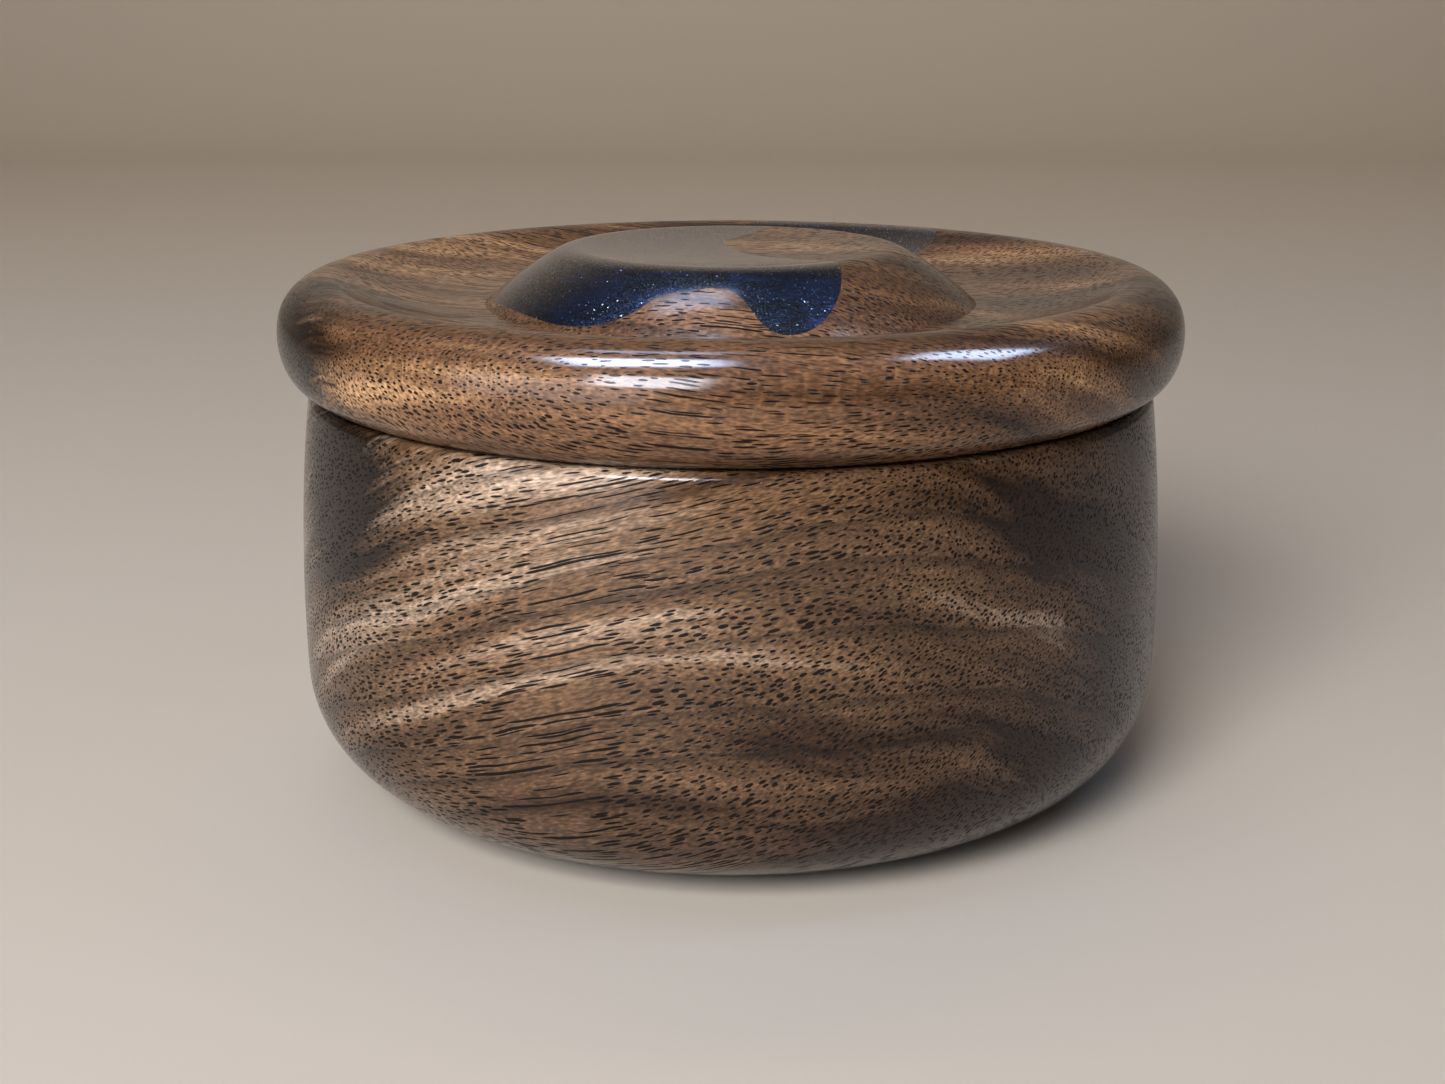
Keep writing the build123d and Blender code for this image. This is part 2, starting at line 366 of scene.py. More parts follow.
def walnut(name, wood, shift, veins):
    """Walnut, turned, sanded and lacquered to a gloss: brown heartwood in growth rings, with dark open pores
    along the fibres. They show as dots on end grain and as long strokes where the surface follows the fibres,
    so the wood is drawn as a solid block and the surface cuts through it. The shift says where in the log the
    blank was cut. Each vein is a place and a reach, where the heartwood runs almost black. Both are in
    millimetres."""
    material, tree = new_material(name)
    turned, fibre = grain_axes(wood)
    place = add(tree, "ShaderNodeTexCoord", output="Object")
    across = add(tree, "ShaderNodeSeparateXYZ", {0: place}, output="X")
    height = across.node.outputs["Z"]
    spiral = add(tree, "ShaderNodeMapRange", {0: height, 1: 0.0, 2: BOWL_MOUTH, 3: -wood.twist, 4: 0.0})
    spun = add(tree, "ShaderNodeVectorRotate", {"Vector": place, "Angle": spiral}, rotation_type="Z_AXIS")
    grain = add(tree, "ShaderNodeMapping", {
        "Vector": spun, "Scale": (1 / MM,) * 3, "Rotation": turned, "Location": shift,
    })

    # The fibres wander, in broad sweeps and a fine ripple.
    slow = add(tree, "ShaderNodeVectorMath", {0: grain, 1: per(SWEEP_SPAN)}, operation="MULTIPLY")
    sweep = add(tree, "ShaderNodeTexNoise", {"Vector": slow, "Scale": 1.0, "Detail": 1.0}, output="Color")
    swept = add(tree, "ShaderNodeVectorMath", {0: sweep, 1: (SWEEP_REACH, SWEEP_REACH, 0.0), 2: grain},
                operation="MULTIPLY_ADD")
    quick = add(tree, "ShaderNodeVectorMath", {0: grain, 1: per(RIPPLE_SPAN)}, operation="MULTIPLY")
    ripple = add(tree, "ShaderNodeTexNoise", {"Vector": quick, "Scale": 1.0, "Detail": 2.0}, output="Color")
    wood_at = add(tree, "ShaderNodeVectorMath", {0: ripple, 1: (RIPPLE_REACH, RIPPLE_REACH, 0.0), 2: swept},
                  operation="MULTIPLY_ADD")

    # Growth rings: circles about a pith far below, some years wider than others.
    from_pith = add(tree, "ShaderNodeVectorMath", {0: wood_at, 1: (1.0, 1.0, 0.0), 2: (0.0, PITH_DEPTH, 0.0)},
                    operation="MULTIPLY_ADD")
    radius = add(tree, "ShaderNodeVectorMath", {0: from_pith}, output="Value", operation="LENGTH")
    uneven = add(tree, "ShaderNodeTexNoise", {"W": radius, "Scale": 1 / UNEVEN_YEARS, "Detail": 1.0},
                 noise_dimensions="1D")
    years = add(tree, "ShaderNodeMath", {0: radius, 1: MM / wood.ring_width}, operation="MULTIPLY")
    years = add(tree, "ShaderNodeMath", {0: uneven, 1: 2.6, 2: years}, operation="MULTIPLY_ADD")
    season = add(tree, "ShaderNodeMath", {0: years}, operation="FRACT")
    late = add(tree, "ShaderNodeMapRange", {0: season, 1: 0.70, 2: 0.96}, interpolation_type="SMOOTHSTEP")
    fresh = add(tree, "ShaderNodeMapRange", {0: season, 1: 0.965, 2: 1.0, 3: 1.0, 4: 0.0})
    late = add(tree, "ShaderNodeMath", {0: late, 1: fresh}, operation="MULTIPLY")

    # Vessels, widest in early wood, and about one place in eight has none.
    gap = wood.pore_spacing / MM
    cells = add(tree, "ShaderNodeTexVoronoi", {"Vector": wood_at, "Scale": 1 / gap, "Randomness": 0.9},
                output="Distance", voronoi_dimensions="2D")
    lot = add(tree, "ShaderNodeSeparateColor", {0: cells.node.outputs["Color"]}, output="Red")
    half = wood.pore_width / wood.pore_spacing / 2
    own = add(tree, "ShaderNodeMapRange", {0: lot, 1: 0.10, 2: 1.0, 3: half * 0.62, 4: half * 1.30})
    there = add(tree, "ShaderNodeMath", {0: lot, 1: 0.12}, operation="GREATER_THAN")
    early = add(tree, "ShaderNodeMapRange", {0: season, 1: 0.0, 2: 1.0, 3: 1.22, 4: 0.72})
    pore = add(tree, "ShaderNodeMath", {0: own, 1: early}, operation="MULTIPLY")
    pore = add(tree, "ShaderNodeMath", {0: pore, 1: there}, operation="MULTIPLY")
    rim = add(tree, "ShaderNodeMath", {0: pore, 1: 1.1}, operation="MULTIPLY")
    core = add(tree, "ShaderNodeMath", {0: pore, 1: 0.9}, operation="MULTIPLY")
    open_pore = add(tree, "ShaderNodeMapRange", {0: cells, 1: rim, 2: core}, interpolation_type="SMOOTHSTEP")

    # Colour: bands that follow the rings, over patches where the heartwood took more or less dye, with
    # painted shade towards +X and towards the foot.
    bands = add(tree, "ShaderNodeVectorMath", {0: wood_at, 1: per(BAND_SPAN)}, operation="MULTIPLY")
    band = add(tree, "ShaderNodeTexNoise", {"Vector": bands, "Scale": 1.0, "Detail": 3.0, "Roughness": 0.5})
    patch = add(tree, "ShaderNodeTexNoise", {"Vector": grain, "Scale": 1 / PATCH_SPAN, "Detail": 1.0})
    # Painted shade: the tone falls towards +X, the side away from the key lamp.
    painted_side_shade = add(tree, "ShaderNodeMapRange", {0: across, 1: SIDE_SHADE_START, 2: SIDE_SHADE_END, 4: -wood.painted_side_shade})
    tone = add(tree, "ShaderNodeMath", {0: patch, 1: 0.3, 2: band}, operation="MULTIPLY_ADD")
    tone = add(tree, "ShaderNodeMath", {0: tone, 1: painted_side_shade}, operation="ADD")
    # Painted shade: the tone falls towards the foot, where little light reaches.
    foot = add(tree, "ShaderNodeMapRange", {0: height, 1: 0.0, 2: FOOT_SHADE_END, 3: -wood.foot, 4: 0.0})
    tone = add(tree, "ShaderNodeMath", {0: tone, 1: foot}, operation="ADD")
    heart = add(tree, "ShaderNodeValToRGB", {0: tone}, stops=(
        (0.34, wood.dark), (0.62, wood.middle), (0.90, wood.light),
    ))
    ragged = add(tree, "ShaderNodeTexNoise", {
        "Vector": bands, "Scale": 3.0, "Detail": 3.0, "Distortion": 1.0,
    })
    black = 0.0
    for centre, reach in veins:
        away = add(tree, "ShaderNodeVectorMath", {0: place, 1: Vector(centre) * MM}, output="Value",
                   operation="DISTANCE")
        away = add(tree, "ShaderNodeMath", {0: away, 1: 1 / (reach * MM)}, operation="MULTIPLY")
        away = add(tree, "ShaderNodeMath", {0: ragged, 1: away}, operation="ADD")
        near = add(tree, "ShaderNodeMapRange", {0: away, 1: 1.5, 2: 0.95}, interpolation_type="SMOOTHSTEP")
        black = add(tree, "ShaderNodeMath", {0: near, 1: black}, operation="MAXIMUM")
    heart = add(tree, "ShaderNodeMix", {0: black, 6: heart, 7: wood.veins}, output=2, data_type="RGBA")

    # Fibres and rays are drawn several times their real width, so that they show.
    strands = add(tree, "ShaderNodeVectorMath", {0: wood_at, 1: per(STRAND_SPAN)}, operation="MULTIPLY")
    fibres = add(tree, "ShaderNodeTexNoise", {"Vector": strands, "Scale": 1.0, "Detail": 1.0})
    fibre_shade = add(tree, "ShaderNodeMapRange", {0: fibres, 1: 0.34, 2: 0.66, 3: 0.58, 4: 1.48})
    ribbons = add(tree, "ShaderNodeVectorMath", {0: wood_at, 1: per(RAY_SPAN)}, operation="MULTIPLY")
    rays = add(tree, "ShaderNodeTexNoise", {"Vector": ribbons, "Scale": 1.0, "Detail": 0.0})
    ray_shade = add(tree, "ShaderNodeMapRange", {0: rays, 1: 0.5, 2: 0.75, 3: 0.92, 4: 1.3})
    late_shade = add(tree, "ShaderNodeMapRange", {0: late, 3: 1.0, 4: 0.58})
    outward = add(tree, "ShaderNodeTexCoord", output="Normal")
    facing = add(tree, "ShaderNodeVectorMath", {0: outward, 1: fibre}, output="Value",
                 operation="DOT_PRODUCT")
    end_grain = add(tree, "ShaderNodeMath", {0: facing, 1: facing}, operation="MULTIPLY")
    end_shade = add(tree, "ShaderNodeMapRange", {0: end_grain, 3: 1.0, 4: 0.34})
    shade = add(tree, "ShaderNodeMath", {0: fibre_shade, 1: ray_shade}, operation="MULTIPLY")
    shade = add(tree, "ShaderNodeMath", {0: shade, 1: late_shade}, operation="MULTIPLY")
    shade = add(tree, "ShaderNodeMath", {0: shade, 1: end_shade}, operation="MULTIPLY")
    shaded = add(tree, "ShaderNodeVectorMath", {0: heart, "Scale": shade}, operation="SCALE")
    cover = add(tree, "ShaderNodeMath", {0: open_pore, 1: 0.97}, operation="MULTIPLY")
    base = add(tree, "ShaderNodeMix", {0: cover, 6: shaded, 7: wood.pores}, output=2, data_type="RGBA")

    # The lacquer sinks a little into each pore, which breaks up the highlight.
    level = add(tree, "ShaderNodeMath", {0: 1.0, 1: open_pore}, operation="SUBTRACT")
    pitted = add(tree, "ShaderNodeBump", {"Height": level, "Strength": 0.6, "Distance": 0.05 * MM})
    film = add(tree, "ShaderNodeBump", {"Height": level, "Strength": 0.45, "Distance": 0.04 * MM})
    gloss = add(tree, "ShaderNodeMapRange", {0: open_pore, 3: 0.78, 4: 0.25})
    sheen = add(tree, "ShaderNodeMapRange", {0: open_pore, 3: 0.44, 4: 0.8})
    surface = add(tree, "ShaderNodeBsdfPrincipled", {
        "Base Color": base, "Roughness": sheen, "IOR": 1.45, "Specular IOR Level": 0.05, "Normal": pitted,
        "Coat Weight": gloss, "Coat Roughness": 0.11, "Coat IOR": 1.45, "Coat Normal": film,
    })
    add(tree, "ShaderNodeOutputMaterial", {"Surface": surface})
    return material


SANDING_SPAN = 0.25        # millimetres between circles
SANDING_LENGTH = 0.4       # radians that one circle lasts
CLOUD_SPAN = 7 * MM
DUST_WIDTH = 0.1 * MM


def mica_epoxy(look):
    """Cast epoxy, turned and polished: deep blue pigment with fine mica, whose pearl shows round a highlight,
    and single flakes that glint. The sandpaper's circles round the axis stay faintly visible."""
    material, tree = new_material("cast mica epoxy")
    place = add(tree, "ShaderNodeTexCoord", output="Object")
    across = add(tree, "ShaderNodeSeparateXYZ", {0: place})
    round_it = add(tree, "ShaderNodeMath", {0: across, 1: across.node.outputs["Y"]}, operation="ARCTAN2")
    flat = add(tree, "ShaderNodeVectorMath", {0: place, 1: (1 / MM, 1 / MM, 0.0)}, operation="MULTIPLY")
    radius = add(tree, "ShaderNodeVectorMath", {0: flat}, output="Value", operation="LENGTH")

    # The sandpaper's circles come and go round the axis.
    polar_at = add(tree, "ShaderNodeCombineXYZ", {0: radius, 1: round_it})
    worn = add(tree, "ShaderNodeVectorMath", {0: polar_at, 1: (1 / SANDING_SPAN, 1 / SANDING_LENGTH, 0.0)},
               operation="MULTIPLY")
    marks = add(tree, "ShaderNodeTexNoise", {"Vector": worn, "Scale": 1.0, "Detail": 2.0},
                noise_dimensions="2D")
    cloud = add(tree, "ShaderNodeTexNoise", {
        "Vector": place, "Scale": 1 / CLOUD_SPAN, "Detail": 4.0, "Distortion": 0.8,
    })
    stir = add(tree, "ShaderNodeMath", {0: marks, 1: 0.6, 2: cloud}, operation="MULTIPLY_ADD")
    pearl = add(tree, "ShaderNodeMapRange", {0: stir, 1: 0.62, 2: 1.05}, interpolation_type="SMOOTHSTEP")
    cells = add(tree, "ShaderNodeTexVoronoi", {"Vector": place, "Scale": 1 / look.flake_width},
                output="Color")
    lot = add(tree, "ShaderNodeSeparateColor", {0: cells}, output="Red")
    flake = add(tree, "ShaderNodeMapRange", {0: lot, 1: 0.993, 2: 0.999})
    dust_cells = add(tree, "ShaderNodeTexVoronoi", {"Vector": place, "Scale": 1 / DUST_WIDTH}, output="Color")
    dust_lot = add(tree, "ShaderNodeSeparateColor", {0: dust_cells}, output="Green")
    dust = add(tree, "ShaderNodeMapRange", {0: dust_lot, 1: 0.5, 2: 1.0, 3: 0.8, 4: 1.7})
    body = add(tree, "ShaderNodeMix", {0: pearl, 6: look.deep, 7: look.pearl}, output=2, data_type="RGBA")
    body = add(tree, "ShaderNodeVectorMath", {0: body, "Scale": dust}, operation="SCALE")
    base = add(tree, "ShaderNodeMix", {0: flake, 6: body, 7: look.flake}, output=2, data_type="RGBA")
    tilt = add(tree, "ShaderNodeVectorMath", {0: cells, 1: (0.5, 0.5, 0.5)}, operation="SUBTRACT")
    normal = add(tree, "ShaderNodeNewGeometry", output="Normal")
    leaned = add(tree, "ShaderNodeVectorMath", {0: tilt, 1: (0.3, 0.3, 0.3), 2: normal},
                 operation="MULTIPLY_ADD")
    leaned = add(tree, "ShaderNodeVectorMath", {0: leaned}, operation="NORMALIZE")
    surface = add(tree, "ShaderNodeBsdfPrincipled", {
        "Base Color": base, "Metallic": 0.75, "Roughness": 0.32, "Normal": leaned,
        "Coat Weight": 1.0, "Coat Roughness": 0.1, "Coat IOR": 1.55,
    })
    add(tree, "ShaderNodeOutputMaterial", {"Surface": surface})
    return material


MOTTLE_SPAN = 5 * MM
SKIN_SPAN = 0.5 * MM


def milled_soap(look):
    """Milled shaving soap: opaque cream, waxy and softly translucent, mottled where it has been wetted."""
    material, tree = new_material("milled shaving soap")
    place = add(tree, "ShaderNodeTexCoord", output="Object")
    mottle = add(tree, "ShaderNodeTexNoise", {"Vector": place, "Scale": 1 / MOTTLE_SPAN, "Detail": 6.0})
    mix = add(tree, "ShaderNodeMapRange", {0: mottle, 1: 0.35, 2: 0.7})
    base = add(tree, "ShaderNodeMix", {0: mix, 6: look.body, 7: look.shade}, output=2, data_type="RGBA")
    wet = add(tree, "ShaderNodeMapRange", {0: mottle, 1: 0.3, 2: 0.7, 3: 0.32, 4: 0.55})
    fine = add(tree, "ShaderNodeTexNoise", {"Vector": place, "Scale": 1 / SKIN_SPAN, "Detail": 4.0})
    skin = add(tree, "ShaderNodeBump", {"Height": fine, "Strength": 0.5, "Distance": 0.08 * MM})
    surface = add(tree, "ShaderNodeBsdfPrincipled", {
        "Base Color": base, "Roughness": wet, "IOR": 1.46, "Normal": skin,
        "Subsurface Weight": 0.35, "Subsurface Radius": (1.0, 0.8, 0.5), "Subsurface Scale": 2.5 * MM,
    })
    add(tree, "ShaderNodeOutputMaterial", {"Surface": surface})
    return material


def painted(name, tone, roughness):
    """A plain matt paint for the stage."""
    material, tree = new_material(name)
    surface = add(tree, "ShaderNodeBsdfPrincipled", {"Base Color": tone, "Roughness": roughness})
    add(tree, "ShaderNodeOutputMaterial", {"Surface": surface})
    return material


BOWL_SHIFT = (3.0, 8.0, 0.0)
LID_SHIFT = (41.0, 22.0, 60.0)
BOWL_VEINS = (
    ((-47, -29, 45), 19.0),
    ((-9, -43, 6), 5.0),
)
LID_VEINS = (
    ((-56, -20, 52), 26.0),
    ((56, -14, 54), 15.0),
    ((22, 4, 64), 7.0),
)


# --- Profiles -------------------------------------------------------------------------------------
# Sizes in millimetres. Overall sizes come from the frame, and the arcs between them are the turner's.

WALL = 9.2
SIDE_ARC = 229.0
CORNER_ARC = 14.3
UNDERSIDE_ARC = 49.7
CORNER_START = -1.5
CORNER_END = -61.0
WIDEST_HEIGHT = 22.1
FOOT_INNER_RADIUS = 33.0
FOOT_RECESS = 1.2
FOOT_RECESS_ROUND = 0.9
FLOOR_ROUND = 7.5
LIP_WIDTH = 2.0
LIP_OUTER_ROUND = 1.2
LIP_INNER_ROUND = 0.8
SOAP_ROUND = 3.0
SOAP_RINGS = 44
SOAP_WEAR = 1.9
SOAP_STEPS = 216
RIM_FACE_ARC = 9.5
RIM_EDGE_ARC = 5.7
RIM_LOW_ANGLE = -21.0
RIM_TOP_ANGLE = 13.0
CREST_END_ANGLE = 114.0
KNOB_BASE_RADIUS = 31.2
KNOB_BASE_DROP = 4.0
KNOB_CREST_RADIUS = 19.8
KNOB_SHOULDER_ARC = 5.5
KNOB_SHOULDER_ANGLE = 61.0
KNOB_HOLLOW = 1.0
SPIGOT_GAP = 0.35
SPIGOT_WALL = 4.5
CEILING_OVER_MOUTH = 3.5
CEILING_ROUND = 3.0
SPIGOT_ROUND = 0.8
VOID_RISE = 12 * MM


def node_size(node):
    """A CAD node's radius, lowest and highest point, in millimetres."""
    low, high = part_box(node)
    return (high.x - low.x) / 2 / MM, low.z / MM, high.z / MM


def mouth_size(bowl_radius, bowl_height):
    """The bowl's side arc centre and the radius of its mouth."""
    side_centre = (bowl_radius - SIDE_ARC, WIDEST_HEIGHT)
    mouth = side_centre[0] + half_chord(SIDE_ARC - WALL, bowl_height - WIDEST_HEIGHT)
    return side_centre, mouth


def bowl_profile():
    radius, _, height = node_size("bowl")
    floor = node_size("soap_puck")[1]
    side_centre, mouth = mouth_size(radius, height)
    corner_centre = polar(side_centre, SIDE_ARC - CORNER_ARC, CORNER_START)
    under_centre = polar(corner_centre, CORNER_ARC - UNDERSIDE_ARC, CORNER_END)
    foot = under_centre[0] + half_chord(UNDERSIDE_ARC, under_centre[1])
    foot_angle = degrees(atan2(-under_centre[1], foot - under_centre[0]))
    rise = height - WIDEST_HEIGHT
    rim_angle = degrees(atan2(rise, half_chord(SIDE_ARC, rise)))
    inner_arc = SIDE_ARC - WALL
    drop = WIDEST_HEIGHT - floor - FLOOR_ROUND
    round_x = side_centre[0] + half_chord(inner_arc - FLOOR_ROUND, drop)
    round_angle = -degrees(atan2(drop, round_x - side_centre[0]))
    mouth_angle = degrees(atan2(rise, half_chord(inner_arc, rise)))
    path = joined(
        [(0.0, FOOT_RECESS), (FOOT_INNER_RADIUS, FOOT_RECESS), (FOOT_INNER_RADIUS, 0.0), (foot, 0.0)],
        arc(under_centre, UNDERSIDE_ARC, foot_angle, CORNER_END),
        arc(corner_centre, CORNER_ARC, CORNER_END, CORNER_START),
        arc(side_centre, SIDE_ARC, CORNER_START, rim_angle),
        arc(side_centre, inner_arc, mouth_angle, round_angle),
        arc((round_x, floor + FLOOR_ROUND), FLOOR_ROUND, round_angle, -90),
        [(0.0, floor)],
    )
    path = rounded(path, (radius - LIP_WIDTH, height), LIP_OUTER_ROUND)
    path = rounded(path, (mouth, height), LIP_INNER_ROUND)
    return rounded(path, (FOOT_INNER_RADIUS, FOOT_RECESS), FOOT_RECESS_ROUND)


def lid_profile():
    radius, spigot_end, knob_crest = node_size("lid")
    bowl_radius, _, seat = node_size("bowl")
    _, mouth = mouth_size(bowl_radius, seat)
    knob_crest = max(knob_crest, node_size("resin_inlay")[2])
    arc_gap = RIM_FACE_ARC - RIM_EDGE_ARC
    face_centre = (radius - RIM_FACE_ARC, seat + RIM_EDGE_ARC - arc_gap * sin(radians(RIM_LOW_ANGLE)))
    low_centre = polar(face_centre, arc_gap, RIM_LOW_ANGLE)
    crest_centre = polar(face_centre, arc_gap, RIM_TOP_ANGLE)
    crest_end = polar(crest_centre, RIM_EDGE_ARC, CREST_END_ANGLE)
    knob_base = (KNOB_BASE_RADIUS, crest_centre[1] + RIM_EDGE_ARC - KNOB_BASE_DROP)
    turn_in = radians(CREST_END_ANGLE)
    shoulder_centre = (KNOB_CREST_RADIUS, knob_crest - KNOB_SHOULDER_ARC)
    flank_top = polar(shoulder_centre, KNOB_SHOULDER_ARC, KNOB_SHOULDER_ANGLE)
    lean = radians(KNOB_SHOULDER_ANGLE)
    flank = leaving_arc(flank_top, knob_base, (sin(lean), -cos(lean)))
    drop = KNOB_SHOULDER_ARC - KNOB_HOLLOW
    hollow_arc = (KNOB_CREST_RADIUS**2 + drop**2 - KNOB_SHOULDER_ARC**2) / (2 * KNOB_HOLLOW)
    hollow_angle = degrees(atan2(KNOB_CREST_RADIUS, hollow_arc + drop))
    hollow_centre = (0.0, knob_crest - KNOB_HOLLOW + hollow_arc)
    spigot = mouth - SPIGOT_GAP
    inner = spigot - SPIGOT_WALL
    ceiling = seat + CEILING_OVER_MOUTH
    path = joined(
        [(0.0, ceiling), (inner, ceiling), (inner, spigot_end), (spigot, spigot_end), (spigot, seat),
         (low_centre[0], seat)],
        arc(low_centre, RIM_EDGE_ARC, -90, RIM_LOW_ANGLE),
        arc(face_centre, RIM_FACE_ARC, RIM_LOW_ANGLE, RIM_TOP_ANGLE),
        arc(crest_centre, RIM_EDGE_ARC, RIM_TOP_ANGLE, CREST_END_ANGLE),
        leaving_arc(crest_end, knob_base, (-sin(turn_in), cos(turn_in))),
        flank[::-1],
        arc(shoulder_centre, KNOB_SHOULDER_ARC, KNOB_SHOULDER_ANGLE, 90 + hollow_angle),
        arc(hollow_centre, hollow_arc, hollow_angle - 90, -90),
    )
    path = rounded(path, (inner, ceiling), CEILING_ROUND)
    path = rounded(path, (inner, spigot_end), SPIGOT_ROUND)
    return rounded(path, (spigot, spigot_end), SPIGOT_ROUND)


def void_outline():
    """The void's edge seen from above, in metres, read round the flat floor of the CAD inlay."""
    level = 0.001 * MM
    upright = 0.5
    shape = bmesh.new()
    shape.from_mesh(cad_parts["resin_inlay"].data)
    bmesh.ops.remove_doubles(shape, verts=shape.verts, dist=level)
    floor = min(v.co.z for v in shape.verts)
    rim = [e for e in shape.edges
           if all(v.co.z < floor + level for v in e.verts)
           and any(abs(f.normal.z) < upright for f in e.link_faces)]
    beside = {}
    for edge in rim:
        for vertex in edge.verts:
            beside.setdefault(vertex, []).append(edge.other_vert(vertex))
    loop = [rim[0].verts[0], rim[0].verts[1]]
    while True:
        onward = [v for v in beside[loop[-1]] if v != loop[-2]][0]
        if onward == loop[0]:
            break
        loop.append(onward)
    points = [(v.co.x, v.co.y) for v in loop]
    shape.free()
    return points, floor


def void_block():
    """The void as a straight-walled block that stands proud of the lid."""
    outline, floor = void_outline()
    shape = bmesh.new()
    face = shape.faces.new([shape.verts.new((x, y, floor)) for x, y in outline])
    raised = bmesh.ops.extrude_face_region(shape, geom=[face])
    top = [v for v in raised["geom"] if isinstance(v, bmesh.types.BMVert)]
    bmesh.ops.translate(shape, verts=top, vec=(0.0, 0.0, VOID_RISE))
    bmesh.ops.recalc_face_normals(shape, faces=shape.faces)
    mesh = bpy.data.meshes.new("void")
    shape.to_mesh(mesh)
    shape.free()
    return link("void", mesh)


def cut(piece, block, operation):
    """Cuts a piece with a block, for good, and removes the block."""
    tool = piece.modifiers.new("void", "BOOLEAN")
    tool.object = block
    tool.operation = operation
    tool.solver = "EXACT"
    settle(piece)
    bpy.data.objects.remove(block)


def finish_piece(piece, material, body, node):
    """Gives a piece its one material and its body, and hides the CAD node that it stands for."""
    piece.data.materials.clear()
    piece.data.materials.append(material)
    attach(piece, body)
    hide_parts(node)


# --- Operators ------------------------------------------------------------------------------------

class SHAVINGBOWL_OT_bowl(bpy.types.Operator):
    """Turns the bowl from one walnut blank"""
    bl_idname = "shavingbowl.bowl"
    bl_label = "Turn the bowl"

    def execute(self, context):
        bowl = turn("turned_bowl", bowl_profile())
        wood = walnut("lacquered walnut, bowl", context.scene.shaving_bowl, BOWL_SHIFT, BOWL_VEINS)
        finish_piece(bowl, wood, "mug", "bowl")
        return {"FINISHED"}


class SHAVINGBOWL_OT_lid(bpy.types.Operator):
    """Turns the lid from one walnut blank and leaves the void open"""
    bl_idname = "shavingbowl.lid"
    bl_label = "Turn the lid"

    def execute(self, context):
        path = lid_profile()
        lid = turn("turned_lid", path)
        cut(lid, void_block(), "DIFFERENCE")
        true_normals(lid, path)
        wood = walnut("lacquered walnut, lid", context.scene.shaving_lid, LID_SHIFT, LID_VEINS)
        finish_piece(lid, wood, "lid", "lid")
        return {"FINISHED"}


class SHAVINGBOWL_OT_inlay(bpy.types.Operator):
    """Casts the resin in the void and turns it flush with the lid"""
    bl_idname = "shavingbowl.inlay"
    bl_label = "Cast the inlay"

    def execute(self, context):
        path = lid_profile()
        inlay = turn("cast_inlay", path)
        cut(inlay, void_block(), "INTERSECT")
        true_normals(inlay, path)
        finish_piece(inlay, mica_epoxy(context.scene.shaving_inlay), "lid", "resin_inlay")
        return {"FINISHED"}


class SHAVINGBOWL_OT_soap(bpy.types.Operator):
    """Presses the soap into the bowl and wears it with the brush"""
    bl_idname = "shavingbowl.soap"
    bl_label = "Press the soap"

    def execute(self, context):
        look = context.scene.shaving_soap
        radius, floor, top = node_size("soap_puck")
        path = [(0.0, floor), (radius, floor), (radius, top)]
        path = rounded(path + [(radius - SOAP_ROUND * 1.5, top)], (radius, top), SOAP_ROUND)
        path = rounded(path, (radius, floor), SOAP_ROUND)
        edge_radius, edge_height = path.pop()
        for i in range(1, SOAP_RINGS + 1):
            at = 1 - i / SOAP_RINGS
            path.append((edge_radius * at, edge_height - SOAP_WEAR * (1 - at**2)**1.5))
        soap = turn("pressed_soap", path, steps=SOAP_STEPS)
        for vertex in soap.data.vertices:
            x, y, z = vertex.co
            away = hypot(x, y) / (edge_radius * MM)
            if z > (top - SOAP_ROUND) * MM and away < 1:
                swirl = sin(look.swirl_count * atan2(y, x) + 9 * away) * sin(pi * away)**2
                vertex.co.z -= look.swirl_depth * (0.5 + 0.5 * swirl) * sin(pi * away)
        finish_piece(soap, milled_soap(look), "mug", "soap_puck")
        return {"FINISHED"}


def softbox(name, place, aim, size, power, tone, fade):
    """A soft rectangular lamp that faces this point. It fades out over this share of its half width and half
    height, as light does behind a diffuser."""
    lamp = bpy.data.lights.new(name, "AREA")
    lamp.shape = "RECTANGLE"
    lamp.size, lamp.size_y = size
    lamp.energy = power
    lamp.color = linear(tone)[:3]
    lamp.use_nodes = True
    tree = lamp.node_tree
    tree.nodes.clear()
    face = add(tree, "ShaderNodeNewGeometry", output="Parametric")
    off = add(tree, "ShaderNodeVectorMath", {0: face, 1: (0.5, 0.5, 0.0)}, operation="SUBTRACT")
    off = add(tree, "ShaderNodeVectorMath", {0: off}, operation="ABSOLUTE")
    off = add(tree, "ShaderNodeVectorMath", {0: off, "Scale": 2.0}, operation="SCALE")
    across = add(tree, "ShaderNodeSeparateXYZ", {0: off})
    wide = add(tree, "ShaderNodeMapRange", {0: across, 1: 1.0, 2: 1 - fade[0]},
               interpolation_type="SMOOTHSTEP")
    high = add(tree, "ShaderNodeMapRange", {0: across.node.outputs["Y"], 1: 1.0, 2: 1 - fade[1]},
               interpolation_type="SMOOTHSTEP")
    strength = add(tree, "ShaderNodeMath", {0: wide, 1: high}, operation="MULTIPLY")
    glow = add(tree, "ShaderNodeEmission", {"Strength": strength})
    add(tree, "ShaderNodeOutputLight", {"Surface": glow})
    made = bpy.data.objects.new(name, lamp)
    bpy.context.scene.collection.objects.link(made)
    back = (Vector(place) - Vector(aim)).normalized()
    level = Vector((0.0, 1.0, 0.0)) if abs(back.z) > 0.7 else Vector((0.0, 0.0, 1.0))
    along = level.cross(back).normalized()
    made.location = place
    made.rotation_euler = Matrix((along, back.cross(along), back)).transposed().to_euler()
    return made


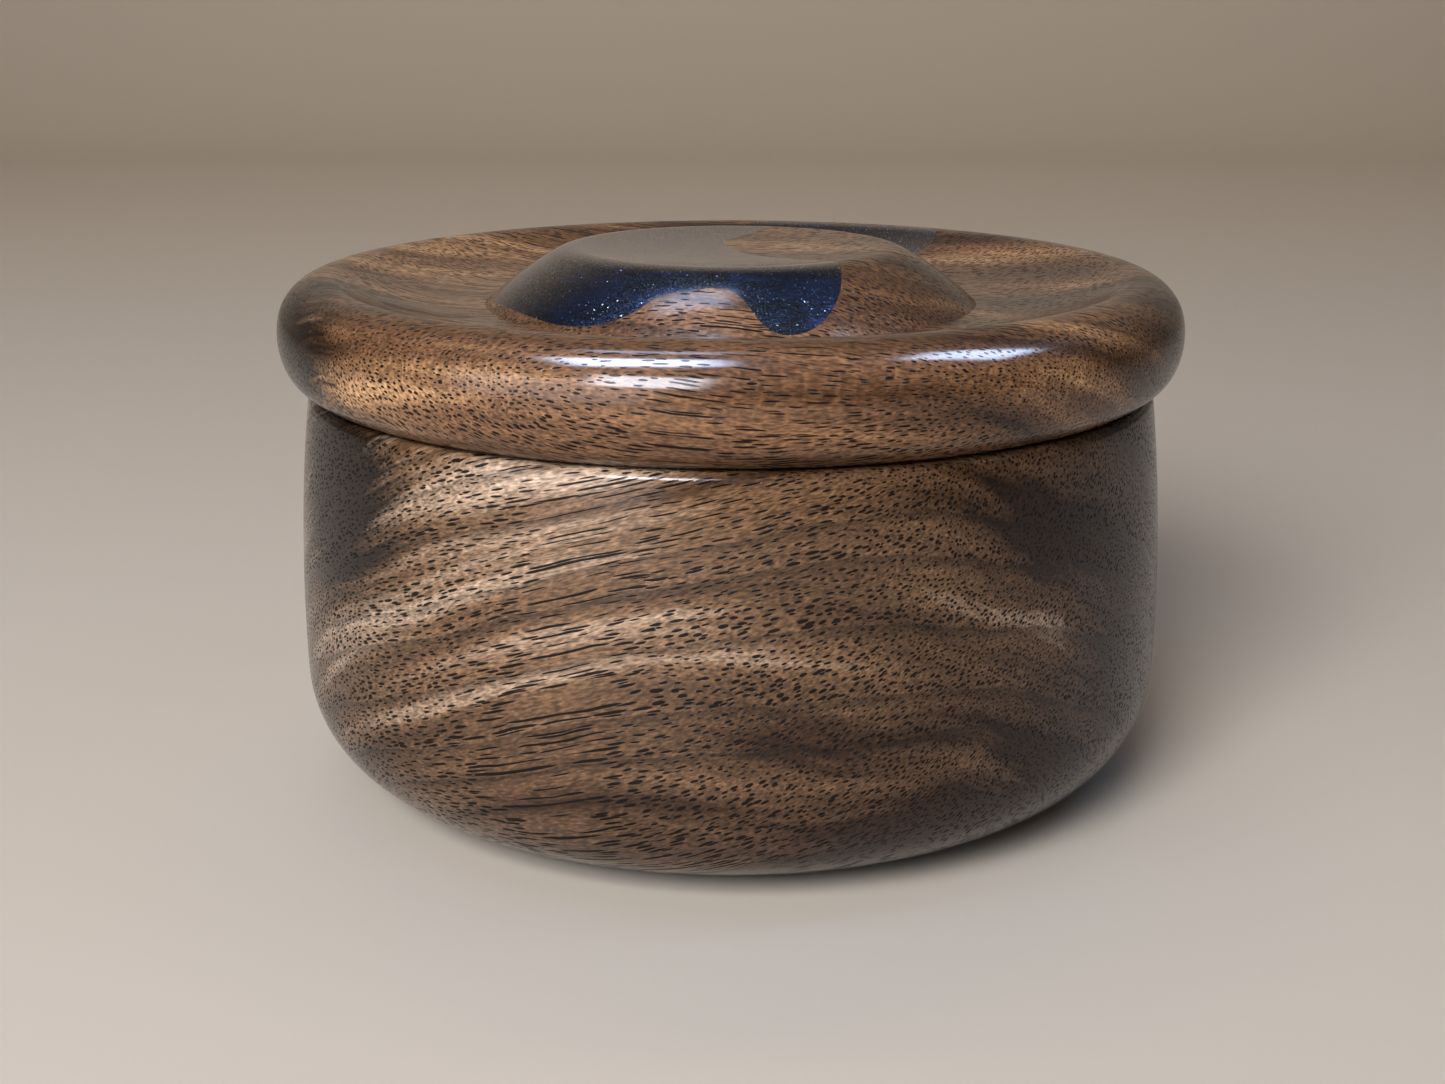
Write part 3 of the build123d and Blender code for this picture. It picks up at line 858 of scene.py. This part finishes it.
def backdrop(material):
    """The floor, which sweeps up behind the bowl in one curve. All in metres."""
    front, bend_start, bend, top, half_width = -2.5, 0.9, 0.5, 2.4, 3.0
    profile = [(front, 0.0)] + arc((bend_start, bend), bend, -90, 0) + [(bend_start + bend, top)]
    shape = bmesh.new()
    rows = [[shape.verts.new((x, y, z)) for y, z in profile] for x in (-half_width, half_width)]
    for i in range(len(profile) - 1):
        shape.faces.new((rows[0][i], rows[1][i], rows[1][i + 1], rows[0][i + 1])).smooth = True
    mesh = bpy.data.meshes.new("floor")
    shape.to_mesh(mesh)
    shape.free()
    mesh.materials.append(material)
    link("floor", mesh)


class SHAVINGBOWL_OT_stage(bpy.types.Operator):
    """Sets the pale floor, the soft lamps and the camera"""
    bl_idname = "shavingbowl.stage"
    bl_label = "Set the stage"

    def execute(self, context):
        look = context.scene.shaving_stage
        backdrop(painted("matt floor paint", look.floor, 0.7))
        lid_top = (0.0, 0.0, 0.06)
        softbox("key", (-0.275, -0.735, 0.52), lid_top, (0.50, 0.40), 19.0, "#f3f5ff", (0.5, 0.3))
        softbox("window", (-0.82, -0.88, 0.26), lid_top, (1.5, 1.0), 15.0, "#f4f6ff", (0.5, 0.5))
        wash = softbox("back wash", (0.0, 0.45, 1.3), (0.0, 1.4, 0.3), (1.2, 0.3), 8.0, "#ffe6c8", (0.5, 0.5))
        wash.visible_glossy = False

        # Three strips overhead give the lid its long highlights and light no matt surface.
        for name, place, size, power in (
            ("front strip", (-0.26, -0.26, 1.00), (0.66, 0.40), 46.0),
            ("middle strip", (-0.15, 0.20, 1.03), (0.42, 0.19), 2.6),
            ("right strip", (0.68, -0.04, 0.88), (0.60, 0.38), 24.0),
        ):
            softbox(name, place, lid_top, size, power, "#c6dbff", (0.6, 0.5)).visible_diffuse = False

        world = bpy.data.worlds.new("soft room")
        world.use_nodes = True
        tree = world.node_tree
        tree.nodes.clear()
        up = add(tree, "ShaderNodeTexCoord", output="Generated")
        height = add(tree, "ShaderNodeSeparateXYZ", {0: up}, output="Z")
        sky = add(tree, "ShaderNodeValToRGB", {0: height}, stops=((0.0, look.horizon), (0.7, look.ceiling)))
        seen = add(tree, "ShaderNodeLightPath", output="Is Camera Ray")
        strength = add(tree, "ShaderNodeMapRange", {0: seen, 3: look.room_light, 4: look.room_seen})
        glow = add(tree, "ShaderNodeBackground", {"Color": sky, "Strength": strength})
        add(tree, "ShaderNodeOutputWorld", {"Surface": glow})
        context.scene.world = world
        context.scene.view_settings.view_transform = "Standard"

        lens = bpy.data.cameras.new("camera")
        lens.sensor_width = 36.0
        lens.lens = look.focal_length / MM
        camera = bpy.data.objects.new("camera", lens)
        context.scene.collection.objects.link(camera)
        camera.location = (0.0, -look.camera_distance, look.camera_height)
        camera.rotation_euler = (pi / 2 - look.camera_pitch, 0.0, look.camera_yaw)
        context.scene.camera = camera
        return {"FINISHED"}


class SHAVINGBOWL_PT_panel(bpy.types.Panel):
    """Lists the bowl's settings and the steps that build it"""
    bl_label = "Shaving Bowl"
    bl_idname = "SHAVINGBOWL_PT_panel"
    bl_space_type = "VIEW_3D"
    bl_region_type = "UI"
    bl_category = "Shaving Bowl"

    def draw(self, context):
        for settings, _, operator in STEPS:
            box = self.layout.box()
            group = getattr(context.scene, settings)
            for name in group.bl_rna.properties.keys():
                if name not in ("name", "rna_type"):
                    box.prop(group, name)
            box.operator(operator.bl_idname)


STEPS = (
    ("shaving_bowl", BowlSettings, SHAVINGBOWL_OT_bowl),
    ("shaving_soap", SoapSettings, SHAVINGBOWL_OT_soap),
    ("shaving_lid", LidSettings, SHAVINGBOWL_OT_lid),
    ("shaving_inlay", InlaySettings, SHAVINGBOWL_OT_inlay),
    ("shaving_stage", StageSettings, SHAVINGBOWL_OT_stage),
)


def register():
    for settings, group, operator in STEPS:
        bpy.utils.register_class(group)
        bpy.utils.register_class(operator)
        setattr(bpy.types.Scene, settings, PointerProperty(type=group))
    bpy.utils.register_class(SHAVINGBOWL_PT_panel)


def unregister():
    bpy.utils.unregister_class(SHAVINGBOWL_PT_panel)
    for settings, group, operator in reversed(STEPS):
        delattr(bpy.types.Scene, settings)
        bpy.utils.unregister_class(operator)
        bpy.utils.unregister_class(group)


def main():
    register()
    bpy.ops.shavingbowl.bowl()
    bpy.ops.shavingbowl.soap()
    bpy.ops.shavingbowl.lid()
    bpy.ops.shavingbowl.inlay()
    bpy.ops.shavingbowl.stage()


if __name__ == "__main__":
    main()
